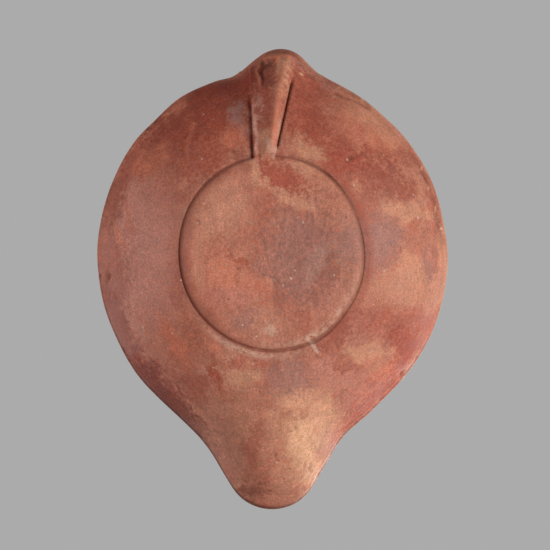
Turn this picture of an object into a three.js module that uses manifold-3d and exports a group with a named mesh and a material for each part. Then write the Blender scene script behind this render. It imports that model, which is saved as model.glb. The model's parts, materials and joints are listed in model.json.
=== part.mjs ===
// A Roman oil lamp of red-brown terracotta: pressed in a two-part mould, joined at the rim and fired as
// one hollow piece. Millimetres, +Z up. It stands on its base at z = 0, with the nozzle towards -Y and the
// lug towards +Y. The shapes are worked out about the body's upright axis, and the finished lamp is then
// moved so that the origin lies on the ground under the middle of its overall length and width.

import * as THREE from "three";
import { mergeVertices } from "three/addons/utils/BufferGeometryUtils.js";
import Module from "manifold-3d";

const wasm = await Module();
wasm.setup();

const DEGREE = Math.PI / 180;

// The outline, seen from above or below: a round body, a blunt nozzle and a tail that runs into the lug.
// Reaches are measured from the body's axis.
const BODY_RADIUS = 42.5;
const FULLER_SIDE = 0.7; // how much further the +X side swells, at its two diagonals
const NOZZLE_REACH = 60.8;
const NOZZLE_TIP_RADIUS = 11.5;
const NOZZLE_HALF_ANGLE = 32 * DEGREE;
const NOZZLE_BLEND = 8.3;
const TAIL_REACH = 50.6;
const TAIL_TIP_RADIUS = 3.8;
const TAIL_HALF_ANGLE = 50 * DEGREE;
const TAIL_BLEND = 9.3;
const TAIL_LEAN = -2.2 * DEGREE; // the tail and lug were set a little askew, towards -X

// Heights.
const SHOULDER_HEIGHT = 27;
const RIM_HEIGHT = (SHOULDER_HEIGHT * 2) / 3; // where the two moulded halves meet
const SEAM_WIDTH = 0.7;
const TAIL_LIFT = 5; // the rim climbs by this much at the tail
const TAIL_SPREAD = 34 * DEGREE;

// The base: a low oval foot inside an incised line. Its edge is rounded, its middle is sunk a little, and
// the lamp stands on the flat crest between them.
const RING_HALF_WIDTH = 22.1; // to the incised line
const RING_HALF_LENGTH = 23.1;
const RING_SETBACK = 1.2; // its centre lies this much nearer the tail than the body's axis
const EDGE_WIDTH = 3.2; // the rounded edge, from the incised line to the crest
const EDGE_HEIGHT = 0.9;
const CREST_WIDTH = 1.3;
const SINK_WIDTH = 1.2;
const SINK_DEPTH = 0.25;
const LINE_HALF_WIDTH = 0.45;
const LINE_DEPTH = 0.65;

// The top: a sunk discus inside a bead, with the filling hole, and the wick hole on the nozzle.
const DISCUS_RADIUS = 21;
const BEAD_WIDTH = 2.6;
const BEAD_HEIGHT = 1.3;
const DISCUS_EDGE_DROP = 1; // from the shoulder to the discus just inside the bead
const DISCUS_DROP = 3; // and to the discus at the filling hole
const FILLING_HOLE_RADIUS = 7;
const WICK_HOLE_RADIUS = 6.5;
const WICK_HOLE_MARGIN = 7; // clay between the wick hole and the nozzle's tip
const WICK_LAND_WIDTH = 3; // the flat around the wick hole
const WICK_LAND_DROP = 3; // how far that flat lies below the shoulder

// Walls.
const WALL = 4;
const FLOOR_THICKNESS = 4;
const DISCUS_THICKNESS = 3;

// The handle: a ridge that runs up the lamp's back from the base and rises above the shoulder as a solid
// lug, oval in section. Its sections have half-widths across the lamp and half-thicknesses through it.
const RIDGE_FOOT_X = 2.2;
const RIDGE_FOOT_HALF_WIDTH = 4;
const RIDGE_FOOT_HALF_THICKNESS = 1.6;
const RIDGE_FOOT_STAND = 0.6; // how far the ridge stands out of the body there
const RIDGE_HEAD_STAND = 1.8; // and where it meets the lug
const LUG_HALF_WIDTH = 7.2;
const LUG_HALF_THICKNESS = 5.1;
const LUG_TIP_HALF_WIDTH = 5.5;
const LUG_TIP_HALF_THICKNESS = 4.2;
const LUG_RISE = 12.2; // above the shoulder
const LUG_LEAN = 9 * DEGREE;
const LUG_OVERHANG = 0.7; // how far its back reaches past the tail

// The incised line along each side of the ridge.
const SIDE_LINE_FOOT = 3.2; // distance from the ridge's middle
const SIDE_LINE_HEAD = 5;
const SIDE_LINE_SHARE = 0.72; // how much of the ridge the lines accompany
const SIDE_LINE_HALF_WIDTH = 0.45;
const SIDE_LINE_DEPTH = 0.9;

// How finely the surfaces are divided.
const COLUMNS = 88;
const CAVITY_COLUMNS = 56;
const CROWDING = 0.24; // draws columns towards the nozzle and the tail
const HANDLE_SIDES = 24;
const HOLE_SIDES = 28;

const mix = (a, b, t) => a + (b - a) * t;
const steps = (count, from = 0, to = 1) =>
  Array.from({ length: count }, (_, i) => mix(from, to, i / (count - 1)));

function smoothStep(t) {
  const c = Math.min(1, Math.max(0, t));
  return c * c * (3 - 2 * c);
}

// The larger of a and b, rounded off where they are within `width` of each other.
function smoothMax(a, b, width) {
  const t = Math.min(1, Math.max(0, 0.5 + (0.5 * (b - a)) / width));
  return mix(a, b, t) + width * t * (1 - t);
}

// Angles are measured about the body's axis from the nozzle's direction, -Y, and turn towards +X.
const awayFrom = (angle, centre) =>
  Math.abs(THREE.MathUtils.euclideanModulo(angle - centre + Math.PI, 2 * Math.PI) - Math.PI);
const atTail = (angle) => awayFrom(angle, Math.PI - TAIL_LEAN);

// The polar radius of a cone with a round tip, which points away from the axis, at `off` from its own
// direction.
function coneRadius(off, reach, tipRadius, halfAngle) {
  const tipCentre = reach - tipRadius;
  const tangent = Math.atan2(
    tipRadius * Math.cos(halfAngle),
    tipCentre + tipRadius * Math.sin(halfAngle),
  );
  if (off < tangent) {
    const across = tipCentre * Math.sin(off);
    return tipCentre * Math.cos(off) + Math.sqrt(Math.max(0, tipRadius ** 2 - across ** 2));
  }
  const clearance = tipCentre * Math.sin(halfAngle) + tipRadius;
  const turn = off + halfAngle;
  return turn < Math.PI / 2
    ? clearance / Math.sin(turn)
    : clearance * Math.max(0, Math.sin(turn));
}

// The outline's polar radius. `inset` draws it in by a wall's thickness, and the inside has no tail.
function outlineRadius(angle, inset = 0, hasTail = true) {
  const swell = Math.sin(angle) > 0 ? FULLER_SIDE * Math.sin(2 * angle) ** 2 : 0;
  const nozzle = coneRadius(
    awayFrom(angle, 0),
    NOZZLE_REACH - inset,
    NOZZLE_TIP_RADIUS - inset,
    NOZZLE_HALF_ANGLE,
  );
  const body = smoothMax(BODY_RADIUS - inset + swell, nozzle, NOZZLE_BLEND);
  if (!hasTail) return body;
  const tail = coneRadius(atTail(angle), TAIL_REACH, TAIL_TIP_RADIUS, TAIL_HALF_ANGLE);
  return smoothMax(body, tail, TAIL_BLEND);
}

// The incised line around the base, as a polar radius about the body's axis.
function ringRadius(angle) {
  const oval =
    (RING_HALF_WIDTH * RING_HALF_LENGTH) /
    Math.hypot(RING_HALF_LENGTH * Math.sin(angle), RING_HALF_WIDTH * Math.cos(angle));
  return oval - RING_SETBACK * Math.cos(angle);
}

function rimHeight(angle) {
  const near = Math.max(0, 1 - atTail(angle) / TAIL_SPREAD);
  return RIM_HEIGHT + TAIL_LIFT * smoothStep(near);
}

// How the bowl climbs from the base, u = 0, to the rim, u = 1: gently at first, then ever steeper.
const bowlClimb = (u) => 0.45 * u + 0.55 * u ** 3;
// How the shoulder climbs from the rim, v = 0, to the discus, v = 1: steeply at first, then ever flatter.
const shoulderClimb = (v) => 1 - (1 - v) ** 2.4;

// Height of the body's underside at a distance from the axis, outside the incised line.
function undersideHeight(angle, radius) {
  const start = ringRadius(angle) + LINE_HALF_WIDTH;
  const u = (radius - start) / (outlineRadius(angle) - start);
  return mix(EDGE_HEIGHT, rimHeight(angle), bowlClimb(Math.max(0, u)));
}

const wickHoleReach = NOZZLE_REACH - WICK_HOLE_MARGIN - WICK_HOLE_RADIUS;

// The shoulder's height, pressed flat around the wick hole.
function pressedFlat(angle, radius, height, landHeight) {
  const x = radius * Math.sin(angle);
  const y = wickHoleReach - radius * Math.cos(angle);
  const beyond = (Math.hypot(x, y) - WICK_HOLE_RADIUS) / WICK_LAND_WIDTH;
  return mix(height, landHeight, smoothStep(2 - beyond));
}

// A closed skin from a list of rows, each a function from an angle to a point [x, y, z]. The first and last
// row are single points, and each row turns anticlockwise, seen from the end that the rows run to.
function skin(rows, angles) {
  const columns = angles.length;
  const positions = [rows[0](0)];
  for (const row of rows.slice(1, -1)) {
    for (const angle of angles) positions.push(row(angle));
  }
  positions.push(rows.at(-1)(0));

  const last = positions.length - 1;
  const lastRow = rows.length - 3;
  const at = (row, column) => 1 + row * columns + (column % columns);
  const faces = [];
  for (let c = 0; c < columns; c++) {
    faces.push(0, at(0, c + 1), at(0, c));
    for (let r = 0; r < lastRow; r++) {
      faces.push(at(r, c), at(r, c + 1), at(r + 1, c + 1));
      faces.push(at(r, c), at(r + 1, c + 1), at(r + 1, c));
    }
    faces.push(at(lastRow, c), at(lastRow, c + 1), last);
  }
  return new THREE.BufferGeometry()
    .setAttribute("position", new THREE.Float32BufferAttribute(positions.flat(), 3))
    .setIndex(faces);
}

// Angles for the columns of a skin, drawn towards the nozzle and the tail by `crowding`.
const columnAngles = (columns, crowding) =>
  steps(columns + 1, 0, 2 * Math.PI)
    .slice(0, -1)
    .map((turn) => turn - crowding * Math.sin(2 * turn));

// A row about the body's axis, from the polar radius and height that `shape` gives for each angle.
const around = (shape) => (angle) => {
  const { radius, height } = shape(angle);
  return [radius * Math.sin(angle), -radius * Math.cos(angle), height];
};

// The lamp's outside without its handle, from the middle of the base out to the rim and back to the discus.
function outsideSkin() {
  const fromLine = (offset, height) => (angle) => ({ radius: ringRadius(angle) + offset, height });
  const roundedEdge = (offset) => fromLine(offset, EDGE_HEIGHT * (1 + offset / EDGE_WIDTH) ** 2);
  const crestInner = -EDGE_WIDTH - CREST_WIDTH;
  const base = [
    () => ({ radius: 0, height: SINK_DEPTH }),
    (angle) => ({ radius: ringRadius(angle) / 2, height: SINK_DEPTH }),
    fromLine(crestInner - SINK_WIDTH, SINK_DEPTH),
    fromLine(crestInner, 0),
    roundedEdge(-EDGE_WIDTH),
    roundedEdge(-EDGE_WIDTH / 2),
    roundedEdge(-LINE_HALF_WIDTH),
    fromLine(0, EDGE_HEIGHT + LINE_DEPTH),
  ];
  const bowl = steps(10).map((u) => (angle) => ({
    radius: mix(ringRadius(angle) + LINE_HALF_WIDTH, outlineRadius(angle), u),
    height: mix(EDGE_HEIGHT, rimHeight(angle), bowlClimb(u)),
  }));
  const beadFoot = DISCUS_RADIUS + BEAD_WIDTH;
  const shoulder = steps(10).map((v) => (angle) => {
    const radius = mix(outlineRadius(angle), beadFoot, v);
    const height = mix(rimHeight(angle) + SEAM_WIDTH, SHOULDER_HEIGHT, shoulderClimb(v));
    const land = SHOULDER_HEIGHT - WICK_LAND_DROP;
    return { radius, height: pressedFlat(angle, radius, height, land) };
  });
  const bead = steps(4).slice(1).map((t) => () => ({
    radius: beadFoot - BEAD_WIDTH * t,
    height: SHOULDER_HEIGHT + BEAD_HEIGHT * Math.sin(Math.PI * t) - DISCUS_EDGE_DROP * t,
  }));
  const discus = steps(4).slice(1).map((t) => () => ({
    radius: DISCUS_RADIUS * (1 - t),
    height: SHOULDER_HEIGHT - mix(DISCUS_EDGE_DROP, DISCUS_DROP, Math.sin((Math.PI / 2) * t)),
  }));
  const rows = [...base, ...bowl, ...shoulder, ...bead, ...discus];
  return skin(rows.map(around), columnAngles(COLUMNS, CROWDING));
}

// The space for the oil: one wall's thickness inside the bowl and the shoulder, and open into the nozzle.
function cavitySkin() {
  const inner = (angle) => outlineRadius(angle, WALL, false);
  const floorEdge = (angle) => ringRadius(angle) - WALL;
  const floorHeight = SINK_DEPTH + FLOOR_THICKNESS;
  const seam = RIM_HEIGHT + SEAM_WIDTH / 2;
  const discusUnder = SHOULDER_HEIGHT - DISCUS_DROP - DISCUS_THICKNESS;
  const floor = () => ({ radius: 0, height: floorHeight });
  const bowl = steps(7).map((u) => (angle) => ({
    radius: mix(floorEdge(angle), inner(angle), u),
    height: mix(floorHeight, seam, bowlClimb(u)),
  }));
  const shoulder = steps(6).slice(1).map((v) => (angle) => {
    const radius = mix(inner(angle), DISCUS_RADIUS, v);
    const height = mix(seam, SHOULDER_HEIGHT - WALL, shoulderClimb(v));
    const land = SHOULDER_HEIGHT - WICK_LAND_DROP - WALL;
    return { radius, height: pressedFlat(angle, radius, height, land) };
  });
  const ceiling = [
    () => ({ radius: DISCUS_RADIUS / 2, height: discusUnder }),
    () => ({ radius: 0, height: discusUnder }),
  ];
  const rows = [floor, ...bowl, ...shoulder, ...ceiling];
  return skin(rows.map(around), columnAngles(CAVITY_COLUMNS, CROWDING));
}

// The handle's middle swings from the ridge's foot, beside the lamp's middle, to the tail's own direction.
const ridgeStart = ringRadius(Math.PI) + LINE_HALF_WIDTH;
const ridgeEnd = TAIL_REACH + LUG_OVERHANG - LUG_HALF_THICKNESS;
function handleMiddle(reach) {
  const along = Math.max(0, (reach - ridgeStart) / (ridgeEnd - ridgeStart));
  return mix(RIDGE_FOOT_X, reach * Math.sin(TAIL_LEAN), Math.min(1, along) ** 2);
}

// Where the surface lies below a point of the plan, and how steeply it climbs away from the body's axis.
function undersideAt(x, y) {
  const angle = Math.atan2(x, -y);
  const radius = Math.hypot(x, y);
  const climb = undersideHeight(angle, radius + 0.5) - undersideHeight(angle, radius - 0.5);
  return { height: undersideHeight(angle, radius), slope: Math.atan(climb) };
}

// The handle's sections, from the ridge's foot to the lug's tip: the middle's reach and height, the
// direction of the run as an angle above the horizontal, and the section's half-width and half-thickness.
function handleSections() {
  const ridge = steps(9).map((s) => {
    const reach = mix(ridgeStart, ridgeEnd, s);
    const { height, slope } = undersideAt(handleMiddle(reach), reach);
    const halfThickness = mix(RIDGE_FOOT_HALF_THICKNESS, LUG_HALF_THICKNESS, s ** 2);
    const sunk = halfThickness - mix(RIDGE_FOOT_STAND, RIDGE_HEAD_STAND, s);
    return {
      reach: reach - sunk * Math.sin(slope),
      height: height + sunk * Math.cos(slope),
      direction: slope,
      halfWidth: mix(RIDGE_FOOT_HALF_WIDTH, LUG_HALF_WIDTH, s ** 1.5),
      halfThickness,
    };
  });
  const direction = Math.PI / 2 - LUG_LEAN;
  const tipHeight = SHOULDER_HEIGHT + LUG_RISE - LUG_TIP_HALF_WIDTH;
  const rootHeight = RIM_HEIGHT + TAIL_LIFT;
  const tipReach = TAIL_REACH + LUG_OVERHANG - LUG_TIP_HALF_THICKNESS;
  const lug = steps(4).map((t) => ({
    reach: tipReach - (1 - t) * (tipHeight - rootHeight) * Math.tan(LUG_LEAN),
    height: mix(rootHeight, tipHeight, t),
    direction,
    halfWidth: mix(LUG_HALF_WIDTH, LUG_TIP_HALF_WIDTH, t),
    halfThickness: mix(LUG_HALF_THICKNESS, LUG_TIP_HALF_THICKNESS, t),
  }));
  const dome = steps(6).slice(1).map((t) => {
    const turn = (Math.PI / 2) * t;
    const out = LUG_TIP_HALF_WIDTH * Math.sin(turn);
    return {
      reach: tipReach + out * Math.cos(direction),
      height: tipHeight + out * Math.sin(direction),
      direction,
      halfWidth: LUG_TIP_HALF_WIDTH * Math.cos(turn),
      halfThickness: LUG_TIP_HALF_THICKNESS * Math.cos(turn),
    };
  });
  return [...ridge, ...lug, ...dome];
}

function handleGeometry() {
  const sections = handleSections();
  const oval = (section) => (turn) => {
    const out = section.halfThickness * Math.cos(turn);
    return [
      handleMiddle(section.reach) - section.halfWidth * Math.sin(turn),
      section.reach + out * Math.sin(section.direction),
      section.height - out * Math.cos(section.direction),
    ];
  };
  const middle = (section) => () => [handleMiddle(section.reach), section.reach, section.height];
  const rows = [middle(sections[0]), ...sections.slice(0, -1).map(oval), middle(sections.at(-1))];
  return skin(rows, columnAngles(HANDLE_SIDES, 0));
}

// The clay taken out by the incised line on one side of the ridge: side is 1 for +X and -1 for -X. Its
// section is a diamond with its middle on the body's surface.
function sideLineGeometry(side) {
  const stations = steps(10).map((s) => {
    const reach = mix(ridgeStart, ridgeEnd, s * SIDE_LINE_SHARE);
    const x = handleMiddle(reach) + side * mix(SIDE_LINE_FOOT, SIDE_LINE_HEAD, s);
    return { x, reach, ...undersideAt(x, reach) };
  });
  const middle = ({ x, reach, height }) => () => [x, reach, height];
  const diamond = ({ x, reach, height, slope }) => (turn) => {
    const out = SIDE_LINE_DEPTH * Math.cos(turn);
    return [
      x - SIDE_LINE_HALF_WIDTH * Math.sin(turn),
      reach + out * Math.sin(slope),
      height - out * Math.cos(slope),
    ];
  };
  const rows = [middle(stations[0]), ...stations.map(diamond), middle(stations.at(-1))];
  return skin(rows, columnAngles(4, 0));
}

// A round hole through the top wall, `reach` from the body's axis towards the nozzle.
function holeGeometry(radius, reach) {
  const depth = SHOULDER_HEIGHT + BEAD_HEIGHT - RIM_HEIGHT + SEAM_WIDTH;
  return new THREE.CylinderGeometry(radius, radius, depth, HOLE_SIDES)
    .rotateX(Math.PI / 2)
    .translate(0, -reach, RIM_HEIGHT + depth / 2);
}

function solidOf(geometry) {
  const bare = geometry.clone();
  bare.deleteAttribute("normal");
  bare.deleteAttribute("uv");
  const merged = mergeVertices(bare, 1e-4);
  return new wasm.Manifold(
    new wasm.Mesh({
      numProp: 3,
      vertProperties: new Float32Array(merged.attributes.position.array),
      triVerts: new Uint32Array(merged.index.array),
    }),
  );
}

function geometryOf(solid) {
  const { vertProperties, triVerts } = solid.getMesh();
  return new THREE.BufferGeometry()
    .setAttribute("position", new THREE.BufferAttribute(vertProperties, 3))
    .setIndex(new THREE.BufferAttribute(triVerts, 1));
}

function lampGeometry() {
  const clay = solidOf(outsideSkin()).add(solidOf(handleGeometry()));
  const cuts = [
    sideLineGeometry(1),
    sideLineGeometry(-1),
    cavitySkin(),
    holeGeometry(FILLING_HOLE_RADIUS, 0),
    holeGeometry(WICK_HOLE_RADIUS, wickHoleReach),
  ];
  const geometry = geometryOf(cuts.reduce((left, cut) => left.subtract(solidOf(cut)), clay));
  geometry.computeVertexNormals();
  return geometry;
}

const terracotta = new THREE.MeshStandardMaterial({
  color: 0xa5614a,
  roughness: 0.82,
  metalness: 0,
});

const body = new THREE.Mesh(lampGeometry(), terracotta);
body.name = "lamp_body";
body.geometry.computeBoundingBox();
const { min, max } = body.geometry.boundingBox;
body.position.set(-(min.x + max.x) / 2, -(min.y + max.y) / 2, -min.z);

const lamp = new THREE.Group();
lamp.add(body);

export default lamp;
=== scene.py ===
# %% [markdown]
# # A Roman oil lamp, seen from underneath
#
# The lamp is one hollow piece of red-brown clay. A potter pressed its two halves in a mould, joined them
# at the rim, cut the filling hole and the wick hole, and fired it. We make it the same way round: a
# profile is turned into a round body, the body is pressed into its outline, the lug is added, and then
# the tool marks, the wear and the patchy slip go on.

# %% Load the solid model of the lamp
import json
import math

import bpy
import numpy as np
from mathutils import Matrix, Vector, noise

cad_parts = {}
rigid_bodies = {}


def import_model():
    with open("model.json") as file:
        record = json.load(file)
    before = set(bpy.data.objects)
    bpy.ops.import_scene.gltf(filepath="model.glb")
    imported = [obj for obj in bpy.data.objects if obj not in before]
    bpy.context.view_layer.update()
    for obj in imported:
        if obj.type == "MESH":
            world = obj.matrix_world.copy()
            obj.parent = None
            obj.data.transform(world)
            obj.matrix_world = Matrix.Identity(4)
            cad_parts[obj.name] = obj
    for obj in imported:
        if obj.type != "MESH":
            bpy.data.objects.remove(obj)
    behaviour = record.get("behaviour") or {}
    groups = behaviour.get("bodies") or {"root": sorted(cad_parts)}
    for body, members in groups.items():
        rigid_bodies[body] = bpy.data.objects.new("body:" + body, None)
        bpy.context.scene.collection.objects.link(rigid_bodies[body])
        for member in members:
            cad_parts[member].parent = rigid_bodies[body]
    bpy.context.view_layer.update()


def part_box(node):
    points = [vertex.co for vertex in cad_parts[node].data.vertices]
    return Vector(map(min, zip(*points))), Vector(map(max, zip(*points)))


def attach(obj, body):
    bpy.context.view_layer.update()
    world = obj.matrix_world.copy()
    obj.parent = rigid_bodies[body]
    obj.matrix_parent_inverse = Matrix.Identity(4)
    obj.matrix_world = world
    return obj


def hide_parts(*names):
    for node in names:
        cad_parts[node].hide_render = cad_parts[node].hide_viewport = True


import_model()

# %% [markdown]
# ## Lengths
#
# The lamp's sizes are in millimetres, as a potter or an archaeologist would give them, and are turned to
# metres only when they go into Blender. Places on the lamp are measured from the upright axis of its
# round body.

# %% Units and the body's axis
MM = 0.001
DEGREE = math.pi / 180
BODY_RADIUS = 42.5
NOZZLE_REACH = 60.8
AXIS_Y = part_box("lamp_body")[0].y / MM + NOZZLE_REACH
print("the body's axis stands at y =", round(AXIS_Y, 2), "mm")


def mix(a, b, t):
    """The value a share t of the way from a to b."""
    return a + (b - a) * t


def smooth(t):
    """0 below t = 0, 1 above t = 1, and an even S-curve between."""
    t = np.clip(t, 0.0, 1.0)
    return t * t * (3 - 2 * t)


def bump(distance, width):
    """A soft bump, 1 at no distance and nearly 0 at twice the width."""
    return np.exp(-((distance / width) ** 2))


# %% [markdown]
# ## The outline
#
# From below, the lamp is a circle with a blunt nozzle at one end and a broad, pointed tail at the other.
# Each of the three is easy to write as a distance from the axis for every direction, and a rounded
# maximum melts them into one line, as wet clay does. Directions are angles from the nozzle, turning
# towards +X.

# %% Outline of the body, the nozzle and the tail
FULLER_SIDE = 0.7
NOZZLE_PUSH = 0.3  # the nozzle's tip stands this much further out than on the solid model
NOZZLE_TIP_RADIUS = 11.5
NOZZLE_HALF_ANGLE = 32 * DEGREE
NOZZLE_BLEND = 8.3
TAIL_REACH = 51.5
TAIL_TIP_RADIUS = 7.6
TAIL_HALF_ANGLE = 44 * DEGREE
TAIL_BLEND = 10.3
TAIL_LEAN = -2.6 * DEGREE
# Where the hand pushed the outline out or in: direction and spread in degrees, and how far in millimetres.
PUSHES = [(151, 9, 0.9), (168, 4, -0.9), (-150, 9, 0.45), (-166, 6, -0.6), (66, 12, -0.5), (-21, 7, -0.75)]


def away_from(angle, centre):
    """How far an angle lies from another one, either way round."""
    return np.abs((angle - centre + np.pi) % (2 * np.pi) - np.pi)


def around(angle, direction, spread):
    """A soft bump along the lamp's round, in degrees: 1 in one direction, nearly 0 at twice the spread."""
    return bump(away_from(angle, direction * DEGREE), spread * DEGREE)


def worked(value, angle, strokes):
    """A value changed by hand along the round. Each stroke: direction, spread and change."""
    for direction, spread, change in strokes:
        value = value + change * around(angle, direction, spread)
    return value


def at_tail(angle):
    return away_from(angle, np.pi - TAIL_LEAN)


def rounded_max(a, b, width):
    t = np.clip(0.5 + 0.5 * (b - a) / width, 0, 1)
    return mix(a, b, t) + width * t * (1 - t)


def cone_reach(off, reach, tip_radius, half_angle):
    """Distance from the axis to the edge of a round-tipped cone, `off` from the cone's own direction."""
    tip_centre = reach - tip_radius
    tangent = math.atan2(tip_radius * math.cos(half_angle), tip_centre + tip_radius * math.sin(half_angle))
    across = tip_centre * np.sin(np.minimum(off, tangent))
    tip = tip_centre * np.cos(np.minimum(off, tangent)) + np.sqrt(tip_radius**2 - across**2)
    clearance = tip_centre * math.sin(half_angle) + tip_radius
    turn = off + half_angle
    ahead = clearance / np.sin(np.minimum(turn, np.pi / 2))
    side = np.where(turn < np.pi / 2, ahead, clearance * np.sin(turn))
    return np.where(off < tangent, tip, np.maximum(side, 0))


def outline(angle, inset=0.0, tail=True):
    """The lamp's outline as a distance from the axis, drawn in by `inset` for the inside of its wall."""
    swell = np.where(np.sin(angle) > 0, FULLER_SIDE * np.sin(2 * angle) ** 2, 0)
    tip = NOZZLE_REACH + NOZZLE_PUSH - inset
    nozzle = cone_reach(away_from(angle, 0), tip, NOZZLE_TIP_RADIUS - inset, NOZZLE_HALF_ANGLE)
    body = rounded_max(BODY_RADIUS - inset + swell, nozzle, NOZZLE_BLEND)
    if not tail:
        return body
    tail_cone = cone_reach(at_tail(angle), TAIL_REACH, TAIL_TIP_RADIUS, TAIL_HALF_ANGLE)
    return worked(rounded_max(body, tail_cone, TAIL_BLEND), angle, PUSHES)


print("outline, mm: nozzle", outline(np.array([0.0])), "side", outline(np.array([np.pi / 2])))

# %% [markdown]
# ## The underside
#
# The lamp stands on a low oval base with a rounded edge. Round it the potter cut a line by hand, deeper
# and wider in some places than in others, and from there the bowl climbs to the rim, gently at first and
# then steeply. The base sinks a little towards its middle, so the lamp stands on a narrow band near the
# edge.

# %% Heights of the underside
RIM_HEIGHT = 18.0
TAIL_LIFT = 5.0
TAIL_SPREAD = 34 * DEGREE
RING_HALF_WIDTH = 22.1
RING_HALF_LENGTH = 23.1
RING_SETBACK = 1.2
EDGE_WIDTH = 3.2
EDGE_HEIGHT = 0.9
DISC_SINK = 0.25
LINE_DEPTH = 0.75
SOFT_WALL = 1.3
LINE_WIDTH = 0.46
LINE_SHARE = 0.62  # of its depth and width, where no stroke changes them
# Where the line is deeper and where it is wider: direction and spread in degrees, and the change.
DEEPER = [(-76, 34, 0.3), (-106, 12, 0.16), (-18, 26, 0.14), (-146, 15, 0.45)]
DEEPER += [(180, 11, -0.45), (132, 20, 0.1), (84, 18, 0.12), (56, 12, 0.1)]
WIDER = [(-80, 50, 0.5), (-40, 30, 0.4), (150, 25, 0.4), (10, 25, -0.1)]
# Where the hand cut it nearer to the middle or further out: direction and spread in degrees, and how far.
LINE_PUSHES = [(-106, 34, -0.85), (-33, 14, 0.5), (137, 20, -0.35)]


def ring_reach(angle):
    """The cut line, as a distance from the axis: a hand-drawn oval that wavers a little."""
    side = np.hypot(RING_HALF_LENGTH * np.sin(angle), RING_HALF_WIDTH * np.cos(angle))
    oval = RING_HALF_WIDTH * RING_HALF_LENGTH / side
    reach = worked(oval - RING_SETBACK * np.cos(angle), angle, LINE_PUSHES)
    return reach + 0.16 * np.sin(3 * angle + 0.6) + 0.1 * np.sin(5 * angle + 2.1)


def cut_line(angle, off):
    """Depth of the cut line at `off` outside its middle. Towards -X its outer wall is soft and wide."""
    depth = LINE_DEPTH * worked(LINE_SHARE, angle, DEEPER)
    width = LINE_WIDTH * worked(LINE_SHARE, angle, WIDER)
    sharp = depth * bump(off, width)
    slumped = 0.5 * smooth(0.35 - 0.75 * np.sin(angle + 0.35)) * bump(np.maximum(off, 0), SOFT_WALL)
    return np.where(off < 0, np.maximum(sharp, slumped * bump(off, width)), np.maximum(sharp, slumped))


def rim_height(angle):
    return RIM_HEIGHT + TAIL_LIFT * smooth(1 - at_tail(angle) / TAIL_SPREAD)


def bowl_climb(u):
    return 0.5 * u + 0.5 * u**3


def underside(angle, reach):
    """Height of the underside at a distance from the axis."""
    off = reach - ring_reach(angle)
    room = outline(angle) - ring_reach(angle)
    sunk = DISC_SINK * smooth((-off - EDGE_WIDTH - 1) / 8)
    edge = EDGE_HEIGHT * np.clip(1 + off / EDGE_WIDTH, 0, 1) ** 2
    bowl = (rim_height(angle) - EDGE_HEIGHT) * bowl_climb(np.clip(off / room, 0, 1.2))
    return sunk + edge + bowl + cut_line(angle, off)


# %% [markdown]
# ## The profile, row by row
#
# A profile for turning is a line of points from the middle of the base out to the rim, back over the
# shoulder into the sunk discus, down through the filling hole, and along the inside of the wall to the
# middle again. Each point becomes a whole row of the finished mesh. Every stretch of the profile has a
# small function that gives the distance from the axis and the height at a step along the stretch, in
# every direction. The same rows serve twice: first for the turned shape, and then to press that shape
# into the outline.

# %% Sizes of the top and the walls
SEAM_INSET = 0.55
SHOULDER_HEIGHT = 27.0
DISCUS_RADIUS = 21.0
BEAD_WIDTH = 2.6
BEAD_HEIGHT = 1.3
DISCUS_EDGE_DROP = 1.0
DISCUS_DROP = 3.0
FILLING_HOLE_RADIUS = 7.0
WICK_HOLE_RADIUS = 6.5
WICK_HOLE_MARGIN = 7.0  # clay between the wick hole and the nozzle's tip
WICK_HOLE_REACH = NOZZLE_REACH - WICK_HOLE_MARGIN - WICK_HOLE_RADIUS
WICK_LAND_DROP = 3.0
WICK_LAND_WIDTH = 3.0
WALL = 4.0
FLOOR_HEIGHT = 4.5
DISCUS_THICKNESS = 3.0
UNDER_DISCUS = SHOULDER_HEIGHT - DISCUS_DROP - DISCUS_THICKNESS
BASE_END = 3.4  # the rows of the base end this far inside the cut line
BOWL_START = 1.0  # the rows of the bowl start this far outside it
SHOULDER_START = 0.9  # the shoulder starts this far above the seam
INNER_START = 0.35  # and so does its inside
SHOULDER_ROUND = 2.4  # the power of the shoulder's curve
HOLE_ROUND = 0.9  # the rounding of the filling hole's edge


def pressed_flat(angle, reach, height, land):
    """The shoulder's height, pressed flat to `land` around the wick hole."""
    beyond = np.hypot(reach * np.sin(angle), WICK_HOLE_REACH - reach * np.cos(angle)) - WICK_HOLE_RADIUS
    return mix(height, land, smooth(2 - beyond / WICK_LAND_WIDTH))


def base_row(t, angle):
    reach = t * (ring_reach(angle) - BASE_END)
    return reach, underside(angle, reach)


def edge_row(off, angle):
    reach = ring_reach(angle) + off
    return reach, underside(angle, reach)


def bowl_row(u, angle):
    reach = mix(ring_reach(angle) + BOWL_START, outline(angle) - SEAM_INSET, u)
    return reach, underside(angle, reach)


def rim_row(t, angle):
    """The narrow edge of the upper half, which stands out beyond the seam: t runs round it."""
    reach = outline(angle) - SEAM_INSET * (1 - math.sin(math.pi * t))
    return reach, underside(angle, outline(angle) - SEAM_INSET) + mix(0.15, 1.3, t)


def shoulder_row(v, angle):
    foot = DISCUS_RADIUS + BEAD_WIDTH
    reach = mix(outline(angle) - SEAM_INSET, foot, v)
    height = mix(rim_height(angle) + SHOULDER_START, SHOULDER_HEIGHT, 1 - (1 - v) ** SHOULDER_ROUND)
    ring_mark = 0.35 * bump(reach - foot - 3.2, 0.45)
    return reach, pressed_flat(angle, reach, height - ring_mark, SHOULDER_HEIGHT - WICK_LAND_DROP)


def bead_row(t, angle):
    reach = DISCUS_RADIUS + BEAD_WIDTH * (1 - t)
    return reach, SHOULDER_HEIGHT + BEAD_HEIGHT * math.sin(math.pi * t) - DISCUS_EDGE_DROP * t


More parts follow.
